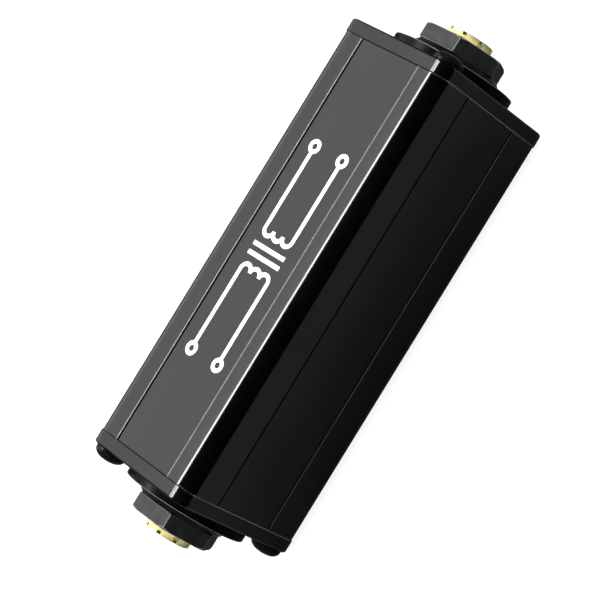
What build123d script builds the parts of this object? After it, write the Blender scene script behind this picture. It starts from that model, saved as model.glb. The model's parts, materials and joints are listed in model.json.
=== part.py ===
from build123d import *
from math import cos, radians
import os

# Inline audio isolator: an extruded aluminium case with a jack socket in each end,
# and between the sockets a circuit board with two small audio transformers.
# Millimetres. X runs along the case, Z is up and the case lies on Z = 0, with the
# origin under its middle. Fine threads are left out: a threaded piece has the
# outside diameter of its thread.

# Case extrusion
case_width = 25.0
case_corner = 2.8
case_wall = 1.6
inner_corner = 0.7
panel_width = 14.0
panel_depth = 0.3

# Screw ports, one in each corner of the extrusion
port_inset = 3.1
port_wall = 0.85
port_mouth = 1.3

# End caps
cap_thickness = 2.5
cap_corner = 2.4
cap_edge = 0.3

# Cap screws
screw_diameter = 3.0
screw_length = 8.0
head_diameter = 5.5
head_height = 1.8
recess_length = 3.0
recess_width = 0.9
recess_depth = 1.1

# Insulating disc and plate, dress washer and nut on each socket
disc_margin = 1.3
disc_thickness = 1.8
shoulder_wall = 0.75
inner_plate_thickness = 1.0
inner_plate_rim = 0.4
dress_rim = 0.2
dress_thickness = 1.3
dress_chamfer = 0.8
nut_wall = 2.25
nut_height = 2.9
nut_bevel_height = 0.35
nut_bevel_width = 0.6
nut_turn_right = 31
nut_turn_left = 34

# Socket bush
plug_diameter = 6.35
bore_gap = 0.05
thread_diameter = 9.5
thread_stop = 0.3
nose_diameter = 8.3
nose_length = 1.5
lead_in = 0.4
notch_count = 8
notch_width = 0.7
notch_height = 0.6
notch_depth = 0.45
flange_land = 0.8
flange_thickness = 1.0
tail_diameter = 9.2
tail_length = 3.0

# Socket body
body_margin = 0.1
passage_end = 0.5
back_wall = 1.2
side_wall = 0.8
pocket_gap = 0.3
web_width = 4.6
anchor_wall = 1.9

# Contact springs and sleeve tag
strip_thickness = 0.4
strip_width = 3.2
spring_bite = 0.75
tip_contact = 3.9
ring_contact = 10.5
anchor_length = 3.7
slope_length = 6.0
toe_length = 1.8
toe_rise = 1.5
bend_radius = 0.6
pin_width = 1.0
tag_rim = 0.3
tag_width = 1.2

# Circuit board and its rails
board_thickness = 1.6
board_setback = 0.6
small_hole_sides = 8
rail_thickness = 0.9
rail_reach = 1.2

# Transformers
core_height = 12.0
core_stack = 6.0
core_leg = 4.0
core_yoke = 2.0
core_lift = 0.3
transformer_spacing = 1.6
bay_margin = 1.5
bobbin_wall = 0.5
bobbin_flange = 0.6
rail_block = 1.7
coil_layer = 0.9
tape_thickness = 0.15
corner_cut = 0.7
window_slack = 0.3
lead_width = 0.5
lead_pitch = 7.0
lead_outset = 0.35

# Fits
thread_gap = 0.05
slip_gap = 0.1
board_gap = 0.15
hole_gap = 0.15

# Worked out: radii of the pieces stacked on the socket
thread_radius = thread_diameter / 2
clear_radius = thread_radius + slip_gap
nut_corner_radius = (thread_radius + nut_wall) / cos(radians(30))
dress_radius = nut_corner_radius + dress_rim
shoulder_radius = clear_radius + shoulder_wall
cap_hole_radius = shoulder_radius + slip_gap
flange_radius = cap_hole_radius + flange_land
inner_plate_half = flange_radius + inner_plate_rim
bore_radius = plug_diameter / 2 + bore_gap
disc_radius = case_width / 2 - disc_margin

# Worked out: heights above the bottom face
port_radius = screw_diameter / 2 + thread_gap + port_wall
body_half = inner_plate_half + body_margin
board_bottom = port_inset + port_radius + rail_thickness
board_top = board_bottom + board_thickness
axis_height = board_top + body_half
case_height = 2 * axis_height
port_y = case_width / 2 - port_inset
port_z = axis_height - port_inset
lead_end = port_inset + port_radius + slip_gap

# Worked out: distances outward from the end of the case, and inward where negative
disc_seat = cap_thickness
dress_seat = disc_seat + disc_thickness
nut_seat = dress_seat + dress_thickness
nut_face = nut_seat + nut_height
nose_face = nut_face + nose_length
flange_front = -inner_plate_thickness
flange_back = flange_front - flange_thickness
body_front = flange_back - strip_thickness
bush_end = flange_back - tail_length
tip_apex = bush_end - anchor_wall - anchor_length - slope_length
plug_tip = tip_apex - tip_contact
ring_apex = plug_tip + ring_contact
passage_back = plug_tip - passage_end
body_back = passage_back - back_wall
tag_place = (flange_back + body_front) / 2

# Worked out: a transformer, with a window wide enough for its coils, in height above the bottom
coil_build = bobbin_wall + 2 * coil_layer + tape_thickness + 3 * thread_gap
window_width = slip_gap + coil_build + window_slack
core_width = core_leg + 2 * (window_width + core_yoke)
lead_row = core_stack / 2 + slip_gap + coil_build + lead_outset
bobbin_depth = 2 * lead_row + rail_block
window_height = core_height - 2 * core_yoke
core_middle = board_top + core_lift + core_height / 2
window_bottom = core_middle - window_height / 2
window_top = core_middle + window_height / 2
coil_bottom = window_bottom + slip_gap + bobbin_flange
coil_top = window_top - slip_gap - bobbin_flange

# Worked out: the case is as long as its two sockets and two transformers
transformer_bay = 2 * core_width + transformer_spacing + 2 * bay_margin
case_length = transformer_bay - 2 * body_back
case_end = case_length / 2
transformer_place = (core_width + transformer_spacing) / 2

# Worked out: contact springs, across the socket from its axis
strip_place = body_half - side_wall - strip_thickness / 2
apex_place = plug_diameter / 2 - spring_bite + strip_thickness / 2

os.makedirs("parts", exist_ok=True)


def save(piece, label):
    """Label a finished piece and write it out."""
    piece.part.label = label
    export_step(piece.part, f"parts/{label}.step")


def end_plane(side, outward):
    """A plane across the case, facing out of one end: its X is across and its Y is up."""
    return Plane(
        origin=(side * (case_end + outward), 0, axis_height),
        x_dir=(0, side, 0),
        z_dir=(side, 0, 0),
    )


def plan_plane(side, height):
    """A level plane whose origin is over one end of the case: its X points outward."""
    return Plane(
        origin=(side * case_end, 0, height),
        x_dir=(side, 0, 0),
        z_dir=(0, 0, 1),
    )


def outermost(piece, side):
    """The flat face that lies furthest out at one end of the case."""
    return piece.faces().filter_by(Axis.X).sort_by(Axis.X, reverse=side > 0)[0]


def board_point(side, outward, across):
    """The place on the board of a point given from one end of the case."""
    return (side * (case_end + outward), side * across)


def lead_points(place):
    """The places of one transformer's leads on the board."""
    return [(place + x, y) for x in (-lead_pitch / 2, lead_pitch / 2) for y in (-lead_row, lead_row)]


def small_hole(across):
    """A hole drilled in the board, drawn with few sides, that clears a pin of the given size."""
    RegularPolygon(
        across / 2 + hole_gap,
        small_hole_sides,
        major_radius=False,
        mode=Mode.SUBTRACT,
    )


# Case: a rounded tube with a shallow panel along each side, a screw port in each
# corner and two pairs of rails that hold the board by its edges
with BuildPart() as housing:
    with BuildSketch(Plane.YZ.offset(-case_end)):
        with Locations((0, axis_height)):
            RectangleRounded(case_width, case_height, case_corner)
            with Locations((0, case_height / 2), (0, -case_height / 2)):
                Rectangle(panel_width, 2 * panel_depth, mode=Mode.SUBTRACT)
            with Locations((case_width / 2, 0), (-case_width / 2, 0)):
                Rectangle(2 * panel_depth, panel_width, mode=Mode.SUBTRACT)
            RectangleRounded(
                case_width - 2 * case_wall,
                case_height - 2 * case_wall,
                inner_corner,
                mode=Mode.SUBTRACT,
            )
        with Locations(*[(y, axis_height + z) for y in (-port_y, port_y) for z in (-port_z, port_z)]):
            Circle(port_radius)
        for wing in (-1, 1):
            rail_y = wing * (case_width / 2 - case_wall - rail_reach / 2)
            with Locations(
                (rail_y, board_bottom - rail_thickness / 2),
                (rail_y, board_top + board_gap + rail_thickness / 2),
            ):
                Rectangle(rail_reach, rail_thickness)
            for z in (-port_z, port_z):
                with Locations((wing * port_y, axis_height + z)):
                    Circle(screw_diameter / 2 + thread_gap, mode=Mode.SUBTRACT)
                with Locations((wing * (port_y - port_radius / 2), axis_height + z)):
                    Rectangle(port_radius, port_mouth, mode=Mode.SUBTRACT)
    extrude(amount=case_length)
save(housing, "housing")


def build_end_cap(end, side):
    """A flat plate with a hole for the socket and two screw holes on one diagonal."""
    with BuildPart() as cap:
        with BuildSketch(end_plane(side, 0)):
            RectangleRounded(case_width, case_height, cap_corner)
            Circle(cap_hole_radius, mode=Mode.SUBTRACT)
            with Locations((-port_y, port_z), (port_y, -port_z)):
                Circle(screw_diameter / 2 + hole_gap, mode=Mode.SUBTRACT)
        extrude(amount=cap_thickness)
        chamfer(outermost(cap, side).outer_wire().edges(), cap_edge)
    save(cap, f"end_cap_{end}")


def build_cap_screws(end, side):
    """Two screws with a round head and a cross recess."""
    with BuildPart() as screws:
        with BuildSketch(end_plane(side, cap_thickness)):
            with Locations((-port_y, port_z), (port_y, -port_z)):
                Circle(head_diameter / 2)
        extrude(amount=head_height)
        with BuildSketch(end_plane(side, cap_thickness)):
            with Locations((-port_y, port_z), (port_y, -port_z)):
                Circle(screw_diameter / 2)
        extrude(amount=-screw_length)
        with BuildSketch(end_plane(side, cap_thickness + head_height)):
            with Locations((-port_y, port_z), (port_y, -port_z)):
                Rectangle(recess_length, recess_width)
                Rectangle(recess_width, recess_length)
        extrude(amount=-recess_depth, mode=Mode.SUBTRACT)
    save(screws, f"cap_screws_{end}")


def build_outer_insulator(end, side):
    """The large insulating disc, with a shoulder that centres the socket in the cap."""
    with BuildPart() as insulator:
        with BuildSketch(end_plane(side, disc_seat)):
            Circle(disc_radius)
        extrude(amount=disc_thickness)
        with BuildSketch(end_plane(side, disc_seat)):
            Circle(shoulder_radius)
        extrude(amount=-(cap_thickness - slip_gap))
        with BuildSketch(end_plane(side, 0)):
            Circle(clear_radius)
        extrude(amount=dress_seat, mode=Mode.SUBTRACT)
    save(insulator, f"outer_insulator_{end}")


def build_inner_insulator(end, side):
    """The square insulating plate between the bush's flange and the cap."""
    with BuildPart() as plate:
        with BuildSketch(end_plane(side, flange_front)):
            Rectangle(2 * inner_plate_half, 2 * inner_plate_half)
            Circle(clear_radius, mode=Mode.SUBTRACT)
        extrude(amount=inner_plate_thickness)
    save(plate, f"inner_insulator_{end}")


def build_dress_washer(end, side):
    """The metal washer under the nut, with a bevelled rim."""
    with BuildPart() as washer:
        with BuildSketch(end_plane(side, dress_seat)):
            Circle(dress_radius)
        extrude(amount=dress_thickness)
        chamfer(outermost(washer, side).edges(), dress_chamfer)
        with BuildSketch(end_plane(side, dress_seat)):
            Circle(clear_radius)
        extrude(amount=dress_thickness, mode=Mode.SUBTRACT)
    save(washer, f"dress_washer_{end}")


def build_hex_nut(end, side, turn):
    """The socket's nut: bar with a turned bevel, then six flats, one corner at the given turn."""
    with BuildPart() as nut:
        with BuildSketch(end_plane(side, nut_seat)):
            Circle(nut_corner_radius)
        extrude(amount=nut_height)
        chamfer(outermost(nut, side).edges(), nut_bevel_height, nut_bevel_width)
        with BuildSketch(end_plane(side, nut_seat)):
            RegularPolygon(nut_corner_radius, 6, rotation=90 + side * turn)
        extrude(amount=nut_height, mode=Mode.INTERSECT)
        with BuildSketch(end_plane(side, nut_seat)):
            Circle(thread_radius + thread_gap)
        extrude(amount=nut_height, mode=Mode.SUBTRACT)
    save(nut, f"hex_nut_{end}")


def build_socket_bush(end, side):
    """The gilt bush: nose, thread, flange and tail on one turned profile, with a notched nose."""
    thread_end = nut_face - thread_stop
    nose_radius = nose_diameter / 2
    tail_radius = tail_diameter / 2
    with BuildPart() as bush:
        with BuildSketch(plan_plane(side, axis_height)):
            with BuildLine():
                Polyline(
                    (bush_end, bore_radius),
                    (bush_end, tail_radius),
                    (flange_back, tail_radius),
                    (flange_back, flange_radius),
                    (flange_front, flange_radius),
                    (flange_front, thread_radius),
                    (thread_end, thread_radius),
                    (thread_end, nose_radius),
                    (nose_face, nose_radius),
                    (nose_face, bore_radius + lead_in),
                    (nose_face - lead_in, bore_radius),
                    close=True,
                )
            make_face()
        revolve(axis=Axis((0, 0, axis_height), (1, 0, 0)))
        with BuildSketch(end_plane(side, nose_face)):
            with PolarLocations(nose_radius, notch_count, start_angle=180 / notch_count):
                Rectangle(2 * notch_depth, notch_width)
        extrude(amount=-notch_height, mode=Mode.SUBTRACT)
    save(bush, f"socket_bush_{end}")


def build_socket_body(end, side):
    """The moulded body: a passage that holds the bush's tail, and a pocket for each spring."""
    with BuildPart() as body:
        with BuildSketch(end_plane(side, body_back)):
            Rectangle(2 * body_half, 2 * body_half)
        extrude(amount=body_front - body_back)
        with BuildSketch(end_plane(side, body_front)):
            Circle(tail_diameter / 2 + thread_gap)
        extrude(amount=passage_back - body_front, mode=Mode.SUBTRACT)
        with BuildSketch(plan_plane(side, board_top)):
            for hand, apex in ((1, tip_apex), (-1, ring_apex)):
                inner = hand * web_width / 2
                outer = hand * (body_half - side_wall)
                slot = hand * (strip_place - strip_thickness / 2 - slip_gap)
                toe = apex - hand * (toe_length + pocket_gap)
                slope = apex + hand * (slope_length + pocket_gap)
                anchor = apex + hand * (slope_length + anchor_length + slip_gap)
                with BuildLine():
                    Polyline(
                        (toe, inner),
                        (toe, outer),
                        (anchor, outer),
                        (anchor, slot),
                        (slope, slot),
                        (slope, inner),
                        close=True,
                    )
                make_face()
        extrude(amount=body_half + strip_width / 2 + slip_gap, mode=Mode.SUBTRACT)
    save(body, f"socket_body_{end}")


def build_contact_spring(label, side, hand, apex):
    """A leaf spring bent from strip, held at its anchor, with a pin that goes down to the board."""
    pin_place = apex + hand * (slope_length + anchor_length - pin_width / 2)
    lower_edge = axis_height - strip_width / 2
    with BuildPart() as spring:
        with BuildSketch(plan_plane(side, lower_edge)):
            with BuildLine():
                FilletPolyline(
                    (apex + hand * (slope_length + anchor_length), hand * strip_place),
                    (apex + hand * slope_length, hand * strip_place),
                    (apex, hand * apex_place),
                    (apex - hand * toe_length, hand * (apex_place + toe_rise)),
                    radius=bend_radius,
                )
            trace(line_width=strip_thickness)
        extrude(amount=strip_width)
        with BuildSketch(plan_plane(side, lower_edge)):
            with Locations((pin_place, hand * strip_place)):
                Rectangle(pin_width, strip_thickness)
        extrude(amount=lead_end - lower_edge)
    save(spring, label)
    return pin_place, hand * strip_place


def build_sleeve_tag(end, side):
    """The plate terminal between the bush's flange and the body, with its tail to the board."""
    with BuildPart() as tag:
        with BuildSketch(end_plane(side, body_front)):
            Rectangle(2 * (flange_radius - tag_rim), 2 * (flange_radius - tag_rim))
            with Locations((0, (lead_end - axis_height) / 2)):
                Rectangle(tag_width, axis_height - lead_end)
            Circle(tail_diameter / 2 + slip_gap, mode=Mode.SUBTRACT)
        extrude(amount=strip_thickness)
    save(tag, f"sleeve_tag_{end}")


# The right end and the left end are the same parts, one turned end for end
pin_points = []
for end, side, nut_turn in (("right", 1, nut_turn_right), ("left", -1, nut_turn_left)):
    build_end_cap(end, side)
    build_cap_screws(end, side)
    build_outer_insulator(end, side)
    build_inner_insulator(end, side)
    build_dress_washer(end, side)
    build_hex_nut(end, side, nut_turn)
    build_socket_bush(end, side)
    build_socket_body(end, side)
    build_sleeve_tag(end, side)
    for name, hand, apex in (("tip", 1, tip_apex), ("ring", -1, ring_apex)):
        outward, across = build_contact_spring(f"{name}_spring_{end}", side, hand, apex)
        pin_points.append(board_point(side, outward, across))


# Circuit board: plain laminate, drilled for the sockets and the transformers
with BuildPart() as circuit_board:
    with BuildSketch(Plane.XY.offset(board_bottom)):
        Rectangle(case_length - 2 * board_setback, case_width - 2 * (case_wall + board_gap))
        with Locations(*pin_points):
            small_hole(pin_width)
        for side in (-1, 1):
            with Locations(board_point(side, tag_place, 0)):
                small_hole(tag_width)
            with Locations(*lead_points(side * transformer_place)):
                small_hole(lead_width)
    extrude(amount=board_thickness)
save(circuit_board, "circuit_board")


def build_core(name, place):
    """The lamination stack: two windows either side of an upright middle leg."""
    with BuildPart() as core:
        with BuildSketch(Plane.XZ):
            with Locations((place, core_middle)):
                Rectangle(core_width, core_height)
                with GridLocations(core_leg + window_width, 0, 2, 1):
                    Rectangle(window_width, window_height, mode=Mode.SUBTRACT)
        extrude(amount=core_stack / 2, both=True)
    save(core, f"{name}_core")


def coil_corners(reach):
    """An outline at the given distance off the leg's hole, that goes round each corner in one flat."""
    along = core_leg / 2 + slip_gap + reach
    across = core_stack / 2 + slip_gap + reach
    cut = corner_cut * reach
    quarter = [(along, across - cut), (along - cut, across)]
    half = quarter + [(-x, y) for x, y in reversed(quarter)]
    return half + [(-x, -y) for x, y in half]


def build_bobbin(name, place):
    """The moulded bobbin: a tube round the middle leg, two flanges and a rail for each row of leads."""
    flange_width = core_leg + 2 * (window_width - slip_gap)
    with BuildPart() as bobbin:
        for flange_bottom in (coil_bottom - bobbin_flange, coil_top):
            with BuildSketch(Plane.XY.offset(flange_bottom)):
                with Locations((place, 0)):
                    Rectangle(flange_width, bobbin_depth)
            extrude(amount=bobbin_flange)
        with BuildSketch(Plane.XY.offset(coil_bottom)):
            with Locations((place, 0)):
                Polygon(*coil_corners(bobbin_wall))
        extrude(amount=coil_top - coil_bottom)
        with BuildSketch(Plane.XY.offset(board_top)):
            with Locations((place, -lead_row), (place, lead_row)):
                Rectangle(flange_width, rail_block)
        extrude(amount=coil_bottom - board_top)
        with BuildSketch(Plane.XY.offset(board_top)):
            with Locations((place, 0)):
                Rectangle(core_leg + 2 * slip_gap, core_stack + 2 * slip_gap)
        extrude(amount=coil_top + bobbin_flange - board_top, mode=Mode.SUBTRACT)
        with BuildSketch(Plane.XY.offset(board_top)):
            with Locations(*lead_points(place)):
                Rectangle(lead_width + 2 * thread_gap, lead_width + 2 * thread_gap)
        extrude(amount=window_bottom - board_top, mode=Mode.SUBTRACT)
    save(bobbin, f"{name}_bobbin")


def build_winding(label, place, inner, thickness):
    """One layer round the bobbin, from the given distance off the leg's hole outward."""
    outer = inner + thickness
    with BuildPart() as winding:
        with BuildSketch(Plane.XY.offset(coil_bottom + thread_gap)):
            with Locations((place, 0)):
                for reach, mode in ((outer, Mode.ADD), (inner, Mode.SUBTRACT)):
                    Polygon(*coil_corners(reach), mode=mode)
        extrude(amount=coil_top - coil_bottom - 2 * thread_gap)
    save(winding, label)
    return outer + thread_gap


def build_leads(name, place):
    """The straight leads moulded into the bobbin's rails, soldered in the board."""
    with BuildPart() as leads:
        with BuildSketch(Plane.XY.offset(lead_end)):
            with Locations(*lead_points(place)):
                Rectangle(lead_width, lead_width)
        extrude(amount=window_bottom - lead_end)
    save(leads, f"{name}_leads")


for name, place in (("transformer_right", transformer_place), ("transformer_left", -transformer_place)):
    build_core(name, place)
    build_bobbin(name, place)
    build_leads(name, place)
    reach = bobbin_wall + thread_gap
    for layer, thickness in (("primary", coil_layer), ("secondary", coil_layer), ("tape", tape_thickness)):
        reach = build_winding(f"{name}_{layer}", place, reach, thickness)
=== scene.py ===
import json
from math import cos, pi, radians, sin

import bmesh
import bpy
from mathutils import Matrix, Vector


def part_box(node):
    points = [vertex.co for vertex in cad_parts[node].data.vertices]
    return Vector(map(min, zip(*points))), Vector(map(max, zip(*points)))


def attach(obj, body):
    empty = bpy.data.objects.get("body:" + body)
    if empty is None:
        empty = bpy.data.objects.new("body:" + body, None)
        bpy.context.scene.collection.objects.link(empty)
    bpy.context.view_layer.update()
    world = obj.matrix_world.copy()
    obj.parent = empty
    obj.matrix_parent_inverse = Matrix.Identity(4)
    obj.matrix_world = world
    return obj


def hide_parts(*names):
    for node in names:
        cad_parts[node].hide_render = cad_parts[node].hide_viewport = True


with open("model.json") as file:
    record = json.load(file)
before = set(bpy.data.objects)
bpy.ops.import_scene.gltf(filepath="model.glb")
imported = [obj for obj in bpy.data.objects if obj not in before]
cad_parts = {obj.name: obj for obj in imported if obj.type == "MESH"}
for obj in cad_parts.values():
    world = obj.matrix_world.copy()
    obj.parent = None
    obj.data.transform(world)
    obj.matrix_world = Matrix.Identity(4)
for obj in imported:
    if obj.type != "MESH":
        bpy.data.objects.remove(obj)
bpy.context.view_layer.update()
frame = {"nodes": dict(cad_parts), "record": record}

# Metres, in the frame's own axes: X along the case, Z up, and the case lies on Z = 0
MM = 0.001
ENDS = (("right", 1), ("left", -1))
nodes = frame["nodes"]

# Places worked out from the frame
case_low, case_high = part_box("housing")
cap_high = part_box("end_cap_right")[1]
axis_height = (case_low.z + case_high.z) / 2
case_end = case_high.x

# Panels, one sunk in each long face of the case
panel_depth = 0.3 * MM
panel_half = 7.0 * MM

# Fine shadow groove under the upper edge of each side panel, cut by bars that reach past the case
groove_height = 0.5 * MM
groove_depth = 0.2 * MM
spare = 1.0 * MM

# Angles in degrees: edges that are rounded, edges that stay sharp in the shading, and faces joined flat
sharp_edge = 35
crease_edge = 50
flat_enough = 0.5

# Corners closer than this are one corner
merge_distance = 0.001 * MM

# Rounding of the edges that the solids leave sharp
case_round = 0.14 * MM
cap_round = 0.12 * MM
disc_round = 0.15 * MM
dress_round = 0.1 * MM
nut_round = 0.15 * MM
nose_round = 0.08 * MM

# Cap screws: a domed head, a cross recess and rings for the thread
head_radius = 2.75 * MM
head_rim = 0.35 * MM
head_flat = 0.5 * MM
screw_radius = 1.5 * MM
thread_pitch = 0.5 * MM
thread_depth = 0.25 * MM
screw_tip = 0.6 * MM
recess_length = 3.0 * MM
recess_width = 0.8 * MM
recess_depth = 1.2 * MM
recess_taper = 0.62
turn_steps = 72
arc_steps = 10

# Printed diagram on the top panel: two coils, a core and four terminals
ink_thickness = 0.02 * MM
diagram_length = 41.0 * MM
diagram_width = 9.6 * MM
stroke = 0.75 * MM
stroke_step = 0.002 * MM
coil_turns = 3
coil_place = 3.9 * MM
core_place = 0.85 * MM
core_overhang = 0.5 * MM
terminal_radius = 1.3 * MM

# Camera, as it stood for the photograph
camera_lens = 143.64
camera_azimuth = 0.96
camera_elevation = 47.15
camera_roll = 59.18
camera_distance = 397.9 * MM
camera_aim = Vector((-3.43, 1.14, 16.11)) * MM

# Edges of the case, pale from wear and painted highlight: how far down those of the label face reach, and
# how pale the others are
label_edge_reach = 1.5 * MM
joint_wear_and_highlight = 0.4
step_highlight = 0.15
faint_wear_and_highlight = 0.07

# Painted highlights on flat metal: beside the label panel, along the caps' joints and on the caps' corners
shoulder_highlight_width = 0.3 * MM
joint_highlight_width = 0.18 * MM
joint_highlight_faint = 0.06
corner_highlight_inner = 2.75 * MM
corner_highlight_outer = 2.35 * MM

# Tones of bare metal, of edges pale from wear and painted highlight, and of the painted highlights
bare_black = (0.002, 0.002, 0.002)
wear_and_highlight_pale = (0.45, 0.45, 0.45)
shoulder_highlight = (0.06, 0.06, 0.06)
joint_highlight = (0.18, 0.18, 0.18)
corner_highlight = (0.2, 0.2, 0.2)

# Directions that the finishes tell apart, each the part of a surface's normal along one axis
lengthwise_most = 0.3
side_least = 0.1
cap_side_least = 0.3
level_most = 0.2
slope_most = 0.8
down_most = -0.05
step_least = 0.6
up_least = 0.9
end_least = 0.8

# Gilt bush: inside this radius its notches and bore are dark, as painted shade
gilt_shade_radius = 4.0 * MM

# Stage: a floor, a card on it that only shows in reflections, both just below the case, and a room
floor_reach = 3.0
floor_height = -0.02 * MM
card_reach = 50 * MM
card_height = -0.01 * MM
room_dark = 0.004
room_pale = 0.85

# Panels of light: degrees above level and round from the back, distance and size in metres, radiance
high_panel = {"elevation": 59.5, "azimuth": 0, "distance": 0.9, "size": (0.6, 0.21), "radiance": 24}
low_panel = {"elevation": 26, "azimuth": 0, "distance": 1.1, "size": (1.8, 1.03), "radiance": 1.75}
end_panel = {"elevation": 35, "distance": 0.8, "size": (0.5, 0.5), "radiance": 12}
end_azimuth = 85


def material(name):
    """A new material: its node tree and its shader."""
    made = bpy.data.materials.new(name)
    made.use_nodes = True
    tree = made.node_tree
    return made, tree, tree.nodes["Principled BSDF"]


def node(tree, kind, **values):
    """A node with some of its inputs or settings given."""
    made = tree.nodes.new(kind)
    for key, value in values.items():
        if key in made.inputs:
            made.inputs[key].default_value = value
        else:
            setattr(made, key, value)
    return made


def placed(tree, scale):
    """Object coordinates stretched by a scale for each axis, in cycles a metre."""
    where = node(tree, "ShaderNodeTexCoord")
    stretch = node(tree, "ShaderNodeMapping")
    stretch.inputs["Scale"].default_value = scale
    tree.links.new(where.outputs["Object"], stretch.inputs["Vector"])
    return stretch.outputs["Vector"]


def noise(tree, scale, detail=3.0, roughness=0.6):
    """The value of a noise that repeats about as often as the scale says."""
    made = node(tree, "ShaderNodeTexNoise", Detail=detail, Roughness=roughness, Scale=1.0)
    tree.links.new(placed(tree, scale), made.inputs["Vector"])
    return made.outputs["Fac"]


def spread(tree, value, low, high):
    """A value from 0.3 to 0.7 mapped to the range given."""
    made = node(tree, "ShaderNodeMapRange")
    made.inputs["From Min"].default_value = 0.3
    made.inputs["From Max"].default_value = 0.7
    made.inputs["To Min"].default_value = low
    made.inputs["To Max"].default_value = high
    tree.links.new(value, made.inputs["Value"])
    return made.outputs["Result"]


def two_tone(tree, shader, value, dark, light, low=0.35, high=0.65):
    """The shader's colour goes from one tone to the other as the value goes from low to high."""
    ramp = node(tree, "ShaderNodeValToRGB")
    ramp.color_ramp.elements[0].position = low
    ramp.color_ramp.elements[0].color = (*dark, 1)
    ramp.color_ramp.elements[1].position = high
    ramp.color_ramp.elements[1].color = (*light, 1)
    tree.links.new(value, ramp.inputs["Fac"])
    tree.links.new(ramp.outputs["Color"], shader.inputs["Base Color"])


def relief(tree, shader, value, height, strength=1.0):
    """The surface rises and falls with the value, by the height in metres."""
    made = node(tree, "ShaderNodeBump", Distance=height, Strength=strength)
    tree.links.new(value, made.inputs["Height"])
    tree.links.new(made.outputs["Normal"], shader.inputs["Normal"])


def math(tree, operation, first, second):
    """One step of arithmetic on an output and a number or another output."""
    made = node(tree, "ShaderNodeMath", operation=operation)
    for place, value in enumerate((first, second)):
        if isinstance(value, (int, float)):
            made.inputs[place].default_value = value
        else:
            tree.links.new(value, made.inputs[place])
    return made.outputs["Value"]


def parts_of(tree, output):
    """The X, Y and Z parts of the surface's place or direction."""
    where = node(tree, "ShaderNodeTexCoord")
    parts = node(tree, "ShaderNodeSeparateXYZ")
    tree.links.new(where.outputs[output], parts.inputs["Vector"])
    return parts.outputs


def size_of(tree, value):
    """A value without its sign."""
    return math(tree, "ABSOLUTE", value, 0)


def product(tree, first, *others):
    """An output times some numbers or other outputs."""
    for other in others:
        first = math(tree, "MULTIPLY", first, other)
    return first


def within(tree, value, low, high):
    """One where the value lies between two numbers, and zero elsewhere."""
    above = math(tree, "GREATER_THAN", value, low)
    return product(tree, above, math(tree, "LESS_THAN", value, high))


def overlaid(tree, shader, share, colour):
    """Lay a colour over the shader's own, by a share from 0 to 1."""
    blend = node(tree, "ShaderNodeMixRGB")
    tree.links.new(shader.inputs["Base Color"].links[0].from_socket, blend.inputs["Color1"])
    blend.inputs["Color2"].default_value = (*colour, 1)
    tree.links.new(share, blend.inputs["Fac"])
    tree.links.new(blend.outputs["Color"], shader.inputs["Base Color"])


def anodised():
    """Black anodised extrusion: satin, with fine lines drawn along it and a painted highlight beside the
    label panel.
    """
    made, tree, shader = material("case_anodised")
    lines = noise(tree, (18, 9000, 9000), detail=4)
    cloud = noise(tree, (90, 160, 160), detail=2)
    two_tone(tree, shader, cloud, (0.0010, 0.0010, 0.0011), (0.0018, 0.0018, 0.0020))
    place = parts_of(tree, "Object")
    # Painted highlight: a pale line on the near land beside the label panel
    on_land = math(tree, "GREATER_THAN", place["Z"], case_high.z - panel_depth / 2)
    beside = within(tree, place["Y"], -panel_half - shoulder_highlight_width, -panel_half)
    overlaid(tree, shader, product(tree, on_land, beside), shoulder_highlight)
    tree.links.new(spread(tree, lines, 0.1, 0.14), shader.inputs["Roughness"])
    relief(tree, shader, lines, 0.0012 * MM, 0.35)
    shader.inputs["Specular IOR Level"].default_value = 0.5
    return made


def moulded(name, dark, light, rough, specular, grain_height=0.004 * MM):
    """A dull even finish with a fine grain, such as moulded plastic."""
    made, tree, shader = material(name)
    grain = noise(tree, (5200, 5200, 5200), detail=2)
    cloud = noise(tree, (260, 260, 260), detail=2)
    two_tone(tree, shader, cloud, dark, light)
    tree.links.new(spread(tree, grain, rough - 0.05, rough + 0.05), shader.inputs["Roughness"])
    relief(tree, shader, grain, grain_height, 0.4)
    shader.inputs["Specular IOR Level"].default_value = specular
    return made


def cap_anodised():
    """The caps' anodising, with painted highlights along the joints on both sides and at the near upper
    corner.
    """
    dark, light = (0.0012, 0.0012, 0.0013), (0.0022, 0.0022, 0.0024)
    made = moulded("cap_anodised", dark, light, 0.13, 0.4, 0.0015 * MM)
    tree = made.node_tree
    shader = tree.nodes["Principled BSDF"]
    facing = parts_of(tree, "Normal")
    place = parts_of(tree, "Object")
    # Painted highlight: a pale band beside each joint on the caps' sides, fainter where they slope up
    at_joint = math(tree, "LESS_THAN", size_of(tree, place["X"]), case_end + joint_highlight_width)
    on_side = math(tree, "GREATER_THAN", size_of(tree, facing["Y"]), cap_side_least)
    level = math(tree, "LESS_THAN", size_of(tree, facing["Z"]), level_most)
    sloping = product(tree, within(tree, facing["Z"], level_most, slope_most), joint_highlight_faint)
    share = product(tree, at_joint, on_side, math(tree, "ADD", level, sloping))
    overlaid(tree, shader, share, joint_highlight)
    # Painted highlight: a pale band on the near upper corner, which widens the corner's highlight
    corner = within(tree, place["Y"], corner_highlight_outer - case_high.y, corner_highlight_inner - case_high.y)
    upward = math(tree, "GREATER_THAN", facing["Z"], up_least)
    overlaid(tree, shader, product(tree, corner, upward), corner_highlight)
    return made


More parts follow.
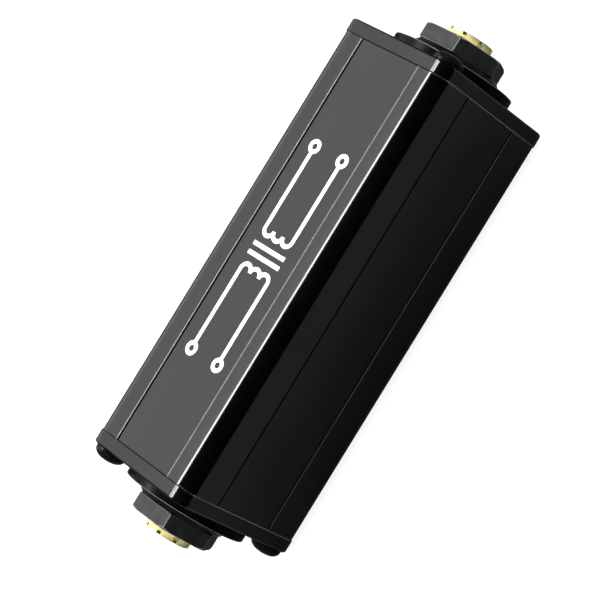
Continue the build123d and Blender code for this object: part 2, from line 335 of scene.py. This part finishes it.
def plated(name, dark, light, rough, metallic, specular=0.5):
    """Plated or blackened metal with fine marks round the X axis."""
    made, tree, shader = material(name)
    turned = noise(tree, (7000, 700, 700), detail=3)
    cloud = noise(tree, (500, 500, 500), detail=3)
    two_tone(tree, shader, cloud, dark, light)
    tree.links.new(spread(tree, turned, rough - 0.05, rough + 0.06), shader.inputs["Roughness"])
    relief(tree, shader, turned, 0.002 * MM, 0.4)
    shader.inputs["Metallic"].default_value = metallic
    shader.inputs["Specular IOR Level"].default_value = specular
    return made


def scuffed(name):
    """A new material with a scuffed grain, and the patches and grain that its tones come from."""
    made, tree, shader = material(name)
    patches = noise(tree, (700, 700, 700), detail=5, roughness=0.7)
    grain = noise(tree, (6000, 6000, 6000), detail=2)
    relief(tree, shader, grain, 0.003 * MM, 0.4)
    return made, tree, shader, patches, grain


def worn(name, dark, light):
    """An edge rubbed paler, a little unevenly."""
    made, tree, shader, patches, grain = scuffed(name)
    two_tone(tree, shader, patches, dark, light, 0.2, 0.8)
    tree.links.new(spread(tree, grain, 0.38, 0.5), shader.inputs["Roughness"])
    return made


def edge_wear_and_highlight():
    """The case's edges, pale from wear and painted highlight where they face up or sideways, long ones on
    the label face most, the up-facing lower side step as a painted highlight, and those that face down not
    at all.
    """
    made, tree, shader, patches, grain = scuffed("edge_wear_and_highlight")
    facing = parts_of(tree, "Normal")
    place = parts_of(tree, "Object")
    along = math(tree, "LESS_THAN", size_of(tree, facing["X"]), lengthwise_most)
    across = math(tree, "SUBTRACT", 1, along)
    on_side = math(tree, "GREATER_THAN", size_of(tree, facing["Y"]), side_least)
    level = math(tree, "LESS_THAN", size_of(tree, facing["Z"]), level_most)
    above = math(tree, "GREATER_THAN", facing["Z"], down_most)
    upward = math(tree, "GREATER_THAN", facing["Z"], step_least)
    on_top = math(tree, "GREATER_THAN", place["Z"], case_high.z - label_edge_reach)
    lower = math(tree, "SUBTRACT", 1, on_top)
    top_edge = product(tree, along, on_top, on_side)
    faint = product(tree, above, faint_wear_and_highlight)
    joint_share = math(tree, "ADD", faint, product(tree, level, joint_wear_and_highlight - faint_wear_and_highlight))
    joint_edge = product(tree, across, on_side, joint_share)
    low_step = product(tree, along, upward, lower, step_highlight)
    share = math(tree, "ADD", top_edge, math(tree, "ADD", joint_edge, low_step))
    uneven = math(tree, "ADD", product(tree, patches, 0.5), 0.75)
    two_tone(tree, shader, product(tree, share, uneven), bare_black, wear_and_highlight_pale, 0, 1)
    tree.links.new(math(tree, "SUBTRACT", 0.9, product(tree, share, 0.5)), shader.inputs["Roughness"])
    shader.inputs["Specular IOR Level"].default_value = 0.15
    return made


def gilded():
    """Gilt plating, bright outside and on the end, with painted shade inside the bush and down in its
    notches.
    """
    made, tree, shader = material("gilt")
    turned = noise(tree, (7000, 700, 700), detail=3)
    cloud = noise(tree, (500, 500, 500), detail=3)
    place = parts_of(tree, "Object")
    facing = parts_of(tree, "Normal")
    # Painted shade: a dark tone inside the radius, where the bore and notches lie in shadow, but not on end
    # faces
    rise = math(tree, "SUBTRACT", place["Z"], axis_height)
    squares = [product(tree, value, value) for value in (place["Y"], rise)]
    outside = math(tree, "GREATER_THAN", math(tree, "ADD", *squares), gilt_shade_radius ** 2)
    at_end = math(tree, "GREATER_THAN", size_of(tree, facing["X"]), end_least)
    bright = math(tree, "MAXIMUM", outside, at_end)
    tone = math(tree, "ADD", product(tree, cloud, 0.4), 0.6)
    two_tone(tree, shader, product(tree, bright, tone), (0.08, 0.055, 0.015), (0.98, 0.90, 0.42), 0, 1)
    tree.links.new(spread(tree, turned, 0.3, 0.41), shader.inputs["Roughness"])
    relief(tree, shader, turned, 0.002 * MM, 0.4)
    shader.inputs["Metallic"].default_value = 0.3
    return made


def ink():
    """White print, a little uneven at the scale of the screen it was pressed through."""
    made, tree, shader = material("white_ink")
    mesh = noise(tree, (4200, 4200, 4200), detail=2)
    two_tone(tree, shader, mesh, (0.82, 0.82, 0.82), (0.93, 0.93, 0.93))
    tree.links.new(spread(tree, mesh, 0.5, 0.62), shader.inputs["Roughness"])
    relief(tree, shader, mesh, 0.003 * MM, 0.4)
    return made


def banded(name, axis_scale, dark, light, rough, metallic, height):
    """Fine parallel bands, such as lamination edges or wound wire."""
    made, tree, shader = material(name)
    wave = node(tree, "ShaderNodeTexWave", Scale=1.0, Distortion=0.6, Detail=2.0)
    wave.inputs["Detail Scale"].default_value = 1.5
    wave.bands_direction = "DIAGONAL"
    tree.links.new(placed(tree, axis_scale), wave.inputs["Vector"])
    two_tone(tree, shader, wave.outputs["Fac"], dark, light)
    rough_noise = noise(tree, (900, 900, 900))
    tree.links.new(spread(tree, rough_noise, rough - 0.06, rough + 0.06), shader.inputs["Roughness"])
    relief(tree, shader, wave.outputs["Fac"], height, 0.6)
    shader.inputs["Metallic"].default_value = metallic
    return made


def lit_paper():
    """The floor: pale paper lit from below, so that what stands on it casts only a faint shadow."""
    made, tree, shader = material("floor_paper")
    mottle = noise(tree, (14, 14, 14), detail=4)
    two_tone(tree, shader, mottle, (0.20, 0.20, 0.20), (0.22, 0.22, 0.22))
    shader.inputs["Roughness"].default_value = 0.9
    seen = node(tree, "ShaderNodeLightPath")
    glow = node(tree, "ShaderNodeEmission")
    tree.links.new(seen.outputs["Is Camera Ray"], glow.inputs["Strength"])
    added = node(tree, "ShaderNodeAddShader")
    tree.links.new(shader.outputs["BSDF"], added.inputs[0])
    tree.links.new(glow.outputs["Emission"], added.inputs[1])
    tree.links.new(added.outputs["Shader"], tree.nodes["Material Output"].inputs["Surface"])
    glow.inputs["Color"].default_value = (0.9, 0.9, 0.9, 1)
    return made


def grey_card():
    """A matt grey card, a little uneven."""
    made, tree, shader = material("grey_card")
    mottle = noise(tree, (30, 30, 30), detail=4)
    two_tone(tree, shader, mottle, (0.092, 0.092, 0.092), (0.103, 0.103, 0.103))
    shader.inputs["Roughness"].default_value = 0.9
    return made


FINISH = {
    "case_anodised": anodised(),
    "cap_anodised": cap_anodised(),
    "edge_wear_and_highlight": edge_wear_and_highlight(),
    "worn_plastic": worn("worn_plastic", (0.04, 0.04, 0.04), (0.14, 0.14, 0.14)),
    "worn_nut": worn("worn_nut", (0.12, 0.12, 0.12), (0.26, 0.26, 0.26)),
    "screw_black": plated("screw_black", (0.003, 0.003, 0.0035), (0.006, 0.006, 0.0065), 0.26, 0.0, 0.08),
    "insulator_black": moulded("insulator_black", (0.002, 0.002, 0.0022), (0.004, 0.004, 0.0042), 0.3, 0.05),
    "washer_black": moulded("washer_black", (0.003, 0.003, 0.0032), (0.006, 0.006, 0.0062), 0.3, 0.12),
    "nut_black": plated("nut_black", (0.024, 0.024, 0.025), (0.037, 0.037, 0.039), 0.45, 0.0, 0.1),
    "gilt": gilded(),
    "socket_moulding": moulded("socket_moulding", (0.012, 0.012, 0.013), (0.020, 0.020, 0.022), 0.5, 0.4),
    "spring_gilt": plated("spring_gilt", (0.72, 0.52, 0.22), (0.88, 0.68, 0.34), 0.25, 1.0),
    "board_laminate": moulded("board_laminate", (0.006, 0.10, 0.035), (0.012, 0.15, 0.055), 0.3, 0.5),
    "lamination_steel": banded(
        "lamination_steel", (0, 9000, 0), (0.12, 0.12, 0.13), (0.34, 0.34, 0.35), 0.4, 0.9, 0.02 * MM
    ),
    "bobbin_nylon": moulded("bobbin_nylon", (0.05, 0.05, 0.05), (0.08, 0.08, 0.08), 0.45, 0.5),
    "winding_copper": banded(
        "winding_copper", (0, 0, 9000), (0.26, 0.07, 0.025), (0.62, 0.21, 0.08), 0.28, 0.9, 0.03 * MM
    ),
    "tape_yellow": moulded("tape_yellow", (0.62, 0.36, 0.03), (0.76, 0.47, 0.05), 0.22, 0.5),
    "lead_tinned": plated("lead_tinned", (0.62, 0.62, 0.63), (0.78, 0.78, 0.80), 0.3, 1.0),
    "white_ink": ink(),
}


def dress(piece, finish):
    """Give a piece one finish all over."""
    piece.data.materials.clear()
    piece.data.materials.append(FINISH[finish])


def shade(piece, sharp=sharp_edge):
    """Smooth shading, but for edges sharper than the angle."""
    piece.data.shade_smooth()
    piece.data.set_sharp_from_angle(angle=radians(sharp))


def add_piece(name, mesh, replaced=()):
    """Add a piece that rides on the part's one body, and hide the solids that it replaces."""
    piece = bpy.data.objects.new(name, mesh)
    bpy.context.scene.collection.objects.link(piece)
    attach(piece, "root")
    if replaced:
        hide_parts(*replaced)
    return piece


def rounded(node_name, width, steps=3, wear=None, mesh=None):
    """A piece made from a solid, with its sharp edges rounded, and its edges worn, or for the case worn and
    painted with highlight, where a finish is given.
    """
    mesh = mesh or nodes[node_name].data.copy()
    work = bmesh.new()
    work.from_mesh(mesh)
    bmesh.ops.remove_doubles(work, verts=work.verts, dist=merge_distance)
    bmesh.ops.dissolve_limit(work, angle_limit=radians(flat_enough), verts=work.verts, edges=work.edges)
    weight = work.edges.layers.float.new("bevel_weight_edge")
    for edge in work.edges:
        if len(edge.link_faces) == 2 and edge.calc_face_angle_signed() > radians(sharp_edge):
            edge[weight] = 1
    work.to_mesh(mesh)
    work.free()
    slot = SLOT_OF[node_name]
    piece = add_piece(f"{node_name}_finished", mesh, [node_name])
    bevel = piece.modifiers.new("rounding", "BEVEL")
    bevel.width = width
    bevel.segments = steps
    bevel.limit_method = "WEIGHT"
    weighted = piece.modifiers.new("flat_faces", "WEIGHTED_NORMAL")
    weighted.keep_sharp = True
    dress(piece, slot)
    if wear:
        piece.data.materials.append(FINISH[wear])
        bevel.material = 1
    shade(piece, crease_edge)
    return piece


def turned(profile):
    """A mesh turned round the X axis from (along, radius) points, the first and last on the axis."""
    work = bmesh.new()
    ring = [work.verts.new((along, 0, radius)) for along, radius in profile]
    edges = [work.edges.new(pair) for pair in zip(ring, ring[1:])]
    bmesh.ops.spin(
        work,
        geom=ring + edges,
        axis=(1, 0, 0),
        cent=(0, 0, 0),
        angle=2 * pi,
        steps=turn_steps,
        use_merge=True,
    )
    bmesh.ops.remove_doubles(work, verts=work.verts, dist=merge_distance)
    bmesh.ops.recalc_face_normals(work, faces=work.faces)
    mesh = bpy.data.meshes.new("turned")
    work.to_mesh(mesh)
    work.free()
    return mesh


def cross_cutter(crown):
    """The tapered cross that a driver fits, sunk from a crown at the given height."""
    work = bmesh.new()
    loops = []
    for along, taper in ((crown + recess_depth, 1), (crown, 1), (crown - recess_depth, recess_taper)):
        far, near = recess_length / 2 * taper, recess_width / 2 * taper
        arm = [(far, -near), (far, near), (near, near)]
        cross = []
        for _ in range(4):
            cross += arm
            arm = [(-z, y) for y, z in arm]
        loops.append([work.verts.new((along, y, z)) for y, z in cross])
    for one, other in zip(loops, loops[1:]):
        for k in range(len(one)):
            work.faces.new((one[k - 1], one[k], other[k], other[k - 1]))
    work.faces.new(loops[0])
    work.faces.new(loops[-1])
    bmesh.ops.recalc_face_normals(work, faces=work.faces)
    mesh = bpy.data.meshes.new("cross")
    work.to_mesh(mesh)
    work.free()
    return bpy.data.objects.new("cross", mesh)


def screw_mesh(head_height, length):
    """One screw on the X axis, its head's seat at zero and its crown outward."""
    rise = head_height - head_rim
    profile = [(head_height, 0), (head_height, head_flat)]
    for step in range(1, arc_steps + 1):
        turn = pi / 2 * step / arc_steps
        profile.append((head_rim + rise * cos(turn), head_flat + (head_radius - head_flat) * sin(turn)))
    profile += [(0, head_radius), (0, screw_radius)]
    ring_count = int((length - screw_tip) / thread_pitch)
    for ring in range(ring_count):
        along = -thread_pitch * (ring + 1)
        profile += [(along + thread_pitch / 2, screw_radius - thread_depth), (along, screw_radius)]
    profile += [(-length, screw_radius - thread_depth), (-length, 0)]
    return turned(profile)


def cut(piece, cutter):
    """Take the cutter's shape out of the piece for good."""
    bpy.context.scene.collection.objects.link(cutter)
    step = piece.modifiers.new("cut", "BOOLEAN")
    step.object = cutter
    step.operation = "DIFFERENCE"
    step.solver = "EXACT"
    bpy.context.view_layer.update()
    graph = bpy.context.evaluated_depsgraph_get()
    mesh = bpy.data.meshes.new_from_object(piece.evaluated_get(graph))
    piece.modifiers.clear()
    piece.data = mesh
    bpy.data.objects.remove(cutter)


def bar(low, high):
    """A plain bar between two corners, to cut with."""
    work = bmesh.new()
    size = high - low
    place = Matrix.Translation((low + high) / 2) @ Matrix.Diagonal((*size, 1))
    bmesh.ops.create_cube(work, size=1, matrix=place)
    mesh = bpy.data.meshes.new("bar")
    work.to_mesh(mesh)
    work.free()
    return bpy.data.objects.new("bar", mesh)


def build_case():
    """The case, with a groove under each side panel's upper edge, its edges worn and painted with highlight,
    and a painted highlight on its lower step.
    """
    blank = bpy.data.objects.new("blank", nodes["housing"].data.copy())
    bpy.context.scene.collection.objects.link(blank)
    top = axis_height + panel_half
    inner = case_high.y - panel_depth - groove_depth
    for near, far in ((-case_high.y - spare, -inner), (inner, case_high.y + spare)):
        low = Vector((case_low.x - spare, near, top - groove_height))
        high = Vector((case_high.x + spare, far, top))
        cut(blank, bar(low, high))
    mesh = blank.data
    bpy.data.objects.remove(blank)
    piece = rounded("housing", case_round, wear="edge_wear_and_highlight", mesh=mesh)
    # The lower side step's up-facing wall takes the edges' finish, as a painted highlight
    for face in piece.data.polygons:
        outside = abs(face.center.y) > case_high.y - panel_depth
        if outside and face.normal.z > up_least and face.center.z < axis_height:
            face.material_index = 1


def build_cap_screws(end, side):
    """The two screws of a cap, in the places of its solids."""
    low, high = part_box(f"cap_screws_{end}")
    seat = cap_high.x
    head_height = (high.x if side > 0 else -low.x) - seat
    length = seat - (low.x if side > 0 else -high.x)
    blank = bpy.data.objects.new("blank", screw_mesh(head_height, length))
    bpy.context.scene.collection.objects.link(blank)
    cut(blank, cross_cutter(head_height))
    work = bmesh.new()
    for across in (-1, 1):
        place = Vector((side * seat, across * side * (high.y - head_radius), 0))
        place.z = (high.z - head_radius) if across < 0 else (low.z + head_radius)
        one = blank.data.copy()
        one.transform(Matrix.Translation(place) @ Matrix.Rotation(0 if side > 0 else pi, 4, "Z"))
        work.from_mesh(one)
    mesh = bpy.data.meshes.new("cap_screws")
    work.to_mesh(mesh)
    work.free()
    bpy.data.objects.remove(blank)
    slot = SLOT_OF[f"cap_screws_{end}"]
    piece = add_piece(f"cap_screws_{end}_finished", mesh, [f"cap_screws_{end}"])
    dress(piece, slot)
    shade(piece)


def arc_points(centre, radius, start, stop, steps):
    """Points of an arc, its angles in degrees."""
    turns = [radians(start + (stop - start) * step / steps) for step in range(steps + 1)]
    return [Vector(centre) + radius * Vector((cos(turn), sin(turn))) for turn in turns]


def ink_stroke(work, points, closed=False):
    """One stroke of the diagram: a thin raised ribbon, each stroke a little thicker than the last."""
    base = case_high.z - panel_depth
    top = base + ink_thickness + stroke_step * len(work.faces) / (8 * arc_steps)
    count = len(points)
    rows = []
    for i, point in enumerate(points):
        before = points[i - 1] if closed or i > 0 else point
        after = points[(i + 1) % count] if closed or i < count - 1 else point
        along = (after - before).normalized()
        off = Vector((-along.y, along.x)) * stroke / 2
        corners = [point + off, point - off]
        low = [work.verts.new((c.x, c.y, base)) for c in corners]
        high = [work.verts.new((c.x, c.y, top)) for c in corners]
        rows.append((low[0], high[0], high[1], low[1]))
    pairs = list(zip(rows, rows[1:] + rows[:1])) if closed else list(zip(rows, rows[1:]))
    for one, other in pairs:
        for k in range(4):
            work.faces.new((one[k], one[(k + 1) % 4], other[(k + 1) % 4], other[k]))
    if not closed:
        work.faces.new(rows[0][::-1])
        work.faces.new(rows[-1])


def build_diagram():
    """The sign for an isolating transformer, between two terminals at each end."""
    work = bmesh.new()
    line_y = diagram_width / 2 - terminal_radius
    terminal_x = diagram_length / 2 - terminal_radius
    ring_radius = terminal_radius - stroke / 2
    turn_radius = line_y / coil_turns
    for side in (-1, 1):
        for y in (-line_y, line_y):
            ring = arc_points((side * terminal_x, y), ring_radius, 0, 360, 4 * arc_steps)[:-1]
            ink_stroke(work, ring, closed=True)
            start = Vector((side * (terminal_x - ring_radius), y))
            ink_stroke(work, [start, Vector((side * (coil_place - stroke / 2), y))])
        for turn in range(coil_turns):
            y = -line_y + turn_radius * (2 * turn + 1)
            middle = 180 if side > 0 else 0
            bump = arc_points((side * coil_place, y), turn_radius, middle - 90, middle + 90, 2 * arc_steps)
            ink_stroke(work, bump)
        reach = line_y + core_overhang
        ink_stroke(work, [Vector((side * core_place, -reach)), Vector((side * core_place, reach))])
    bmesh.ops.recalc_face_normals(work, faces=work.faces)
    mesh = bpy.data.meshes.new("diagram")
    work.to_mesh(mesh)
    work.free()
    piece = add_piece("printed_diagram", mesh)
    dress(piece, "white_ink")


SLOT_OF = {part["node"]: part["material_slot"] for part in frame["record"]["subparts"]}

# The solids whose shape is right get their finish; those that show get rounded edges too
for name, solid in nodes.items():
    dress(solid, SLOT_OF[name])
    shade(solid)
build_case()
for end, side in ENDS:
    dress(rounded(f"end_cap_{end}", cap_round, 2), "cap_anodised")
    rounded(f"outer_insulator_{end}", disc_round, 3, wear="worn_plastic")
    dress(rounded(f"dress_washer_{end}", dress_round, 2), "washer_black")
    rounded(f"hex_nut_{end}", nut_round, 3, wear="worn_nut")
    rounded(f"socket_bush_{end}", nose_round, 3)
    build_cap_screws(end, side)
build_diagram()


# Camera
def aim_camera():
    """Stand the camera where it stood for the photograph."""
    azimuth, elevation, roll = radians(camera_azimuth), radians(camera_elevation), radians(camera_roll)
    back = Vector((sin(azimuth) * cos(elevation), -cos(azimuth) * cos(elevation), sin(elevation)))
    level = Vector((cos(azimuth), sin(azimuth), 0))
    upright = back.cross(level)
    right = level * cos(roll) - upright * sin(roll)
    up = level * sin(roll) + upright * cos(roll)
    camera = bpy.data.objects.new("camera", bpy.data.cameras.new("camera"))
    camera.data.lens = camera_lens
    camera.data.clip_start = 1 * MM
    camera.data.clip_end = 20
    place = Matrix((right, up, back)).transposed().to_4x4()
    place.translation = camera_aim + back * camera_distance
    camera.matrix_world = place
    bpy.context.scene.collection.objects.link(camera)
    bpy.context.scene.camera = camera


# Light and floor
def area_light(name, elevation, azimuth, distance, size, radiance):
    """A soft panel of light that faces the middle of the case."""
    lamp = bpy.data.lights.new(name, "AREA")
    lamp.shape = "RECTANGLE"
    lamp.size, lamp.size_y = size
    lamp.energy = radiance * pi * size[0] * size[1]
    light = bpy.data.objects.new(name, lamp)
    e, a = radians(elevation), radians(azimuth)
    toward = Vector((sin(a) * cos(e), cos(a) * cos(e), sin(e)))
    across = Vector((cos(a), -sin(a), 0))
    place = Matrix((across, toward.cross(across), toward)).transposed().to_4x4()
    place.translation = Vector((0, 0, axis_height)) + toward * distance
    light.matrix_world = place
    bpy.context.scene.collection.objects.link(light)
    return light


def flat_stage(name, half_x, half_y, height, finish):
    """A level sheet under the case, part of the stage."""
    corners = [(-half_x, -half_y), (half_x, -half_y), (half_x, half_y), (-half_x, half_y)]
    mesh = bpy.data.meshes.new(name)
    mesh.from_pydata([(x, y, height) for x, y in corners], [], [(0, 1, 2, 3)])
    sheet = bpy.data.objects.new(name, mesh)
    bpy.context.scene.collection.objects.link(sheet)
    sheet.data.materials.append(finish)
    return sheet


def build_floor():
    """A wide pale floor, and on it a grey card that only shows as a reflection in the case."""
    floor = flat_stage("floor", floor_reach, floor_reach, floor_height, lit_paper())
    floor.visible_glossy = False
    card = flat_stage("card", case_high.x + card_reach, case_high.y + card_reach, card_height, grey_card())
    card.visible_camera = False
    card.visible_shadow = False


def light_room():
    """A dim room, two panels of light behind the case, and one off each end that nothing mirrors."""
    world = bpy.data.worlds.new("room")
    bpy.context.scene.world = world
    world.use_nodes = True
    tree = world.node_tree
    seen = node(tree, "ShaderNodeLightPath")
    level = node(tree, "ShaderNodeMapRange")
    level.inputs["To Min"].default_value = room_dark
    level.inputs["To Max"].default_value = room_pale
    tree.links.new(seen.outputs["Is Camera Ray"], level.inputs["Value"])
    tree.links.new(level.outputs["Result"], tree.nodes["Background"].inputs["Strength"])
    tree.nodes["Background"].inputs["Color"].default_value = (1, 1, 1, 1)
    area_light("high_panel", **high_panel)
    area_light("low_panel", **low_panel)
    for end, side in ENDS:
        area_light(f"{end}_panel", azimuth=side * end_azimuth, **end_panel).visible_glossy = False


aim_camera()
build_floor()
light_room()
bpy.context.scene.view_settings.view_transform = "Standard"
